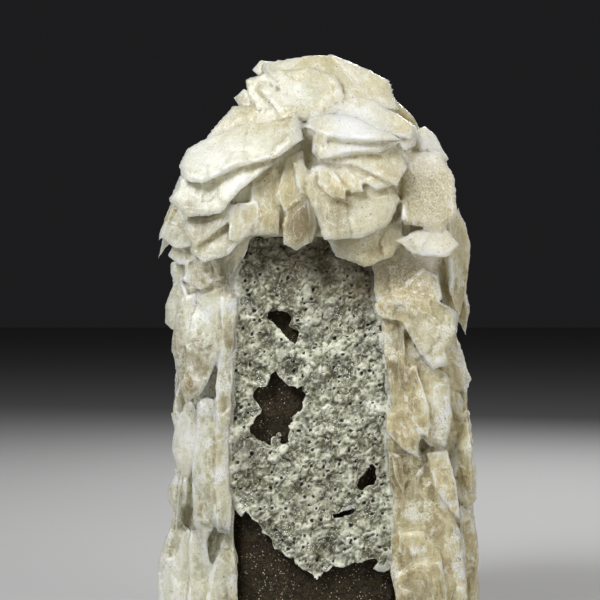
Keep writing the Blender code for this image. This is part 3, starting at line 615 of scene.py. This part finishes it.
# %% The quartz finish
def milky_quartz():
    f = Finish(
        "milky_quartz", Subsurface_Weight=0.85, Subsurface_Radius=(1.0, 0.96, 0.88), IOR=1.54,
        Subsurface_Scale=3.8 * MM, Transmission_Weight=0.15, Coat_Weight=0.3, Coat_Roughness=0.28,
    )
    rim, seam = f.value("rim_mm"), f.value("seam_mm")
    tint, grainy = f.value("tint"), f.value("grainy")
    dust = f.noise(0.18 * MM, 2)
    streak = f.noise(0.7 * MM, 3, (1, 1, 0.14))
    colour = f.mix(f.span(how_warm(f, seam, tint), 0, 1), COOL, WARM)
    pale = paleness_with_painted_light(f, rim, tint, streak, dust)
    # Pale tone and painted highlights, then dark tone and painted shade.
    colour = f.mix(f.span(pale, 0, 1), colour, PALE_TONE_AND_HIGHLIGHT)
    colour = f.mix(f.span(pale, 0, -0.8), colour, DARK_TONE_AND_SHADE)
    sandy = f.mix(f.span(f.noise(0.30 * MM, 3), 0.42, 0.66), SAND_DARK, SAND_PALE)
    colour = f.mix(f.math("MULTIPLY", grainy, 0.75), colour, sandy)
    colour = f.mix(f.span(dust, 0.50, 0.72, 0, 0.3), colour, DUST_PALE)
    colour = f.mix(f.span(dust, 0.48, 0.28, 0, 0.35), colour, DUST_DARK)
    speck = f.span(f.cells(0.8 * MM), 0.08, 0.20, 1, 0)
    where = f.span(f.noise(3.5 * MM, 3), 0.52, 0.64)
    colour = f.mix(f.math("MULTIPLY", speck, where), colour, SPECK)
    # Darker in patches within half a millimetre of the seams.
    seam_dark = f.math("MULTIPLY", f.span(seam, 0.1, 0.5, 1, 0), f.span(f.noise(1.2 * MM, 5), 0.46, 0.58))
    colour = f.mix(f.math("MULTIPLY", seam_dark, 0.8), colour, SEAM_DARK)
    # Painted highlights: thin white lines over the colour.
    f.connect("Base Color", f.mix(painted_edge_highlights(f, rim), colour, RIM_LINE_HIGHLIGHT))
    rough = f.span(f.value("chip"), 0, 1, 0.22, 0.48)
    f.connect("Roughness", f.math("ADD", rough, f.math("MULTIPLY", grainy, 0.2)))
    fine = f.bump(f.noise(0.26 * MM, 5), 0.10 * MM)
    f.connect("Normal", f.bump(streak, 0.12 * MM, fine))
    return f.material


# %% [markdown]
# ## Crust and stone
#
# The crust's colour follows its relief. Painted shade makes it olive and brown in the creases, darker
# in the inner corners and near black in the pores; painted highlights make it pale grey on the knobs
# and paler along the outer edges. It is browner under the hood, a stain together with the hood's
# painted shadow, and in a few other spots. A few grains in patches carry painted white glints.
# The stone is nearly black, with brown grain and small glints, because it lies in deep shade.

# %% Crust finish
CREASE_SHADE, GREY, CREST_HIGHLIGHT = (0.060, 0.062, 0.032, 1), (0.28, 0.295, 0.185, 1), (0.74, 0.76, 0.60, 1)
OLIVE, ASH = (0.12, 0.115, 0.05, 1), (0.68, 0.70, 0.58, 1)
GRAIN_PALE, GRAIN_DARK = (0.92, 0.93, 0.86, 1), (0.07, 0.068, 0.036, 1)
CRUST_EDGE_HIGHLIGHT, CRUST_CORNER_SHADE = (0.93, 0.94, 0.87, 1), (0.06, 0.05, 0.03, 1)
SPARK, STAIN_AND_SHADOW_BROWN, PORE_SHADE = (0.98, 0.98, 0.95, 1), (0.075, 0.052, 0.017, 1), (0.020, 0.016, 0.010, 1)


def porous_crust():
    f = Finish("porous_crust", IOR=1.5)
    edge = f.value("edge")
    height = f.math("ADD", f.value("lump"), f.span(f.noise(1.4 * MM, 5), 0.3, 0.7, -0.3, 0.3))
    # Painted light: the low places get painted shade, the high ones a painted highlight.
    colour = f.mix(f.span(height, 0.0, 0.6), CREASE_SHADE, GREY)
    colour = f.mix(f.span(height, 0.55, 1.0), colour, CREST_HIGHLIGHT)
    colour = f.mix(f.span(f.noise(3.5 * MM, 5), 0.50, 0.62, 0, 0.75), colour, OLIVE)
    colour = f.mix(f.span(f.noise(5.0 * MM, 4), 0.50, 0.38, 0, 0.45), colour, ASH)
    colour = f.mix(f.span(f.noise(0.24 * MM, 4), 0.54, 0.66, 0, 0.5), colour, GRAIN_PALE)
    colour = f.mix(f.span(f.noise(0.30 * MM, 4), 0.46, 0.34, 0, 0.55), colour, GRAIN_DARK)
    # Painted highlight on the outer edges, painted shade in the inner corners.
    colour = f.mix(f.span(edge, 0.06, 0.24, 0, 0.4), colour, CRUST_EDGE_HIGHLIGHT)
    colour = f.mix(f.span(edge, -0.04, -0.20, 0, 0.7), colour, CRUST_CORNER_SHADE)
    # Painted glints: white specks in some patches.
    spark = f.math("LESS_THAN", f.cells(0.36 * MM), 0.26)
    spark = f.math("MULTIPLY", spark, f.span(f.noise(2.6 * MM, 3), 0.54, 0.62, 0, 0.9))
    colour = f.mix(spark, colour, SPARK)
    # Browner in the spots: a stain, with the hood's painted shadow under the hood.
    colour = f.mix(f.span(f.value("stain_and_hood_shadow"), 0, 1, 0, 0.9), colour, f.mix(0.18, STAIN_AND_SHADOW_BROWN, colour))
    # Painted shade: the pores near black.
    f.connect("Base Color", f.mix(f.span(f.value("pit"), 0.35, 0.75), colour, PORE_SHADE))
    f.connect("Roughness", f.span(f.noise(0.5 * MM, 2), 0.3, 0.7, 0.3, 0.7))
    f.connect("Normal", f.bump(f.noise(0.30 * MM, 4), 0.15 * MM))
    return f.material


# %% Stone finish
STONE_BLACK, STONE_BROWN = (0.004, 0.003, 0.001, 1), (0.034, 0.022, 0.007, 1)
STONE_GRAIN, GLINT = (0.11, 0.080, 0.036, 1), (0.55, 0.50, 0.40, 1)


def dark_stone():
    f = Finish("dark_stone", IOR=1.5, Specular_IOR_Level=0.3)
    grain = f.noise(0.8 * MM, 6)
    colour = f.mix(f.span(grain, 0.35, 0.7), STONE_BLACK, STONE_BROWN)
    colour = f.mix(f.span(f.noise(0.22 * MM, 3), 0.50, 0.64, 0, 0.6), colour, STONE_GRAIN)
    glint = f.math("GREATER_THAN", f.cells(0.34 * MM, "Color"), 0.66)
    glint = f.math("MULTIPLY", glint, f.math("LESS_THAN", f.cells(0.34 * MM), 0.26))
    glint = f.math("MULTIPLY", glint, f.span(f.noise(2.0 * MM, 3), 0.42, 0.58))
    f.connect("Base Color", f.mix(glint, colour, GLINT))
    f.connect("Roughness", f.span(glint, 0, 1, 0.7, 0.2))
    f.connect("Normal", f.bump(grain, 0.6 * MM))
    return f.material


# %% [markdown]
# ## On the frame
#
# Every face is shaded smooth, and only the creases that are sharper than CREASE_ANGLE stay sharp,
# so that the fine net doesn't show. Each piece then rides the one body and replaces its solid.

# %% Put the pieces on the frame
for piece, finish, node, slot in (
    (crystals, milky_quartz(), "crystal_growth", "milky_quartz"),
    (crust, porous_crust(), "grey_crust", "grey_crust"),
    (stone, dark_stone(), "stone_core", "dark_stone"),
):
    piece.data.materials.clear()
    piece.data.materials.append(finish)
    piece.data.shade_smooth()
    piece.data.set_sharp_from_angle(angle=CREASE_ANGLE)
    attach(piece, "root")
    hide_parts(node)

# %% [markdown]
# ## Floor and light
#
# A plain pale floor under a dim room. The key light comes from above on the left, as the shadows in
# the photograph say. A weak fill lights the right side, and one lamp behind parts the edges from the
# dark room.

# %% Floor
FLOOR_SIZE = 3.0
FLOOR_GREY = (0.5, 0.5, 0.5, 1)

bm = bmesh.new()
bmesh.ops.create_grid(bm, x_segments=1, y_segments=1, size=FLOOR_SIZE)
floor = bpy.data.objects.new("floor", bpy.data.meshes.new("floor"))
bm.to_mesh(floor.data)
bm.free()
bpy.context.scene.collection.objects.link(floor)
floor.data.materials.append(Finish("floor", Base_Color=FLOOR_GREY, Roughness=0.8).material)


# %% Lights
AIM = Vector((0, 0, 50 * MM))
ROOM = (0.012, 0.012, 0.013, 1)


def soft_light(name, place, power, size, colour=(1, 1, 1)):
    lamp = bpy.data.lights.new(name, "AREA")
    lamp.energy, lamp.size, lamp.color = power, size, colour
    obj = bpy.data.objects.new(name, lamp)
    obj.location = place
    aim = AIM - obj.location
    obj.rotation_euler = aim.to_track_quat("-Z", "Y").to_euler()
    bpy.context.scene.collection.objects.link(obj)


soft_light("key", (-0.20, -0.26, 0.34), 1.9, 0.15)
soft_light("fill", (0.26, -0.22, 0.22), 0.62, 0.18, (1.0, 0.97, 0.91))
soft_light("rim", (0.10, 0.30, 0.28), 0.8, 0.15)
world = bpy.data.worlds.new("studio")
world.use_nodes = True
world.node_tree.nodes["Background"].inputs["Color"].default_value = ROOM
bpy.context.scene.world = world
bpy.context.scene.view_settings.view_transform = "Standard"

# %% [markdown]
# ## Sizes and the end
#
# Then the frame takes the pieces over.

# %% Sizes
bpy.context.view_layer.update()
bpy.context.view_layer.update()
for piece in (crystals, crust, stone):
    print(piece.name, sum(len(p.vertices) - 2 for p in piece.data.polygons), "triangles")
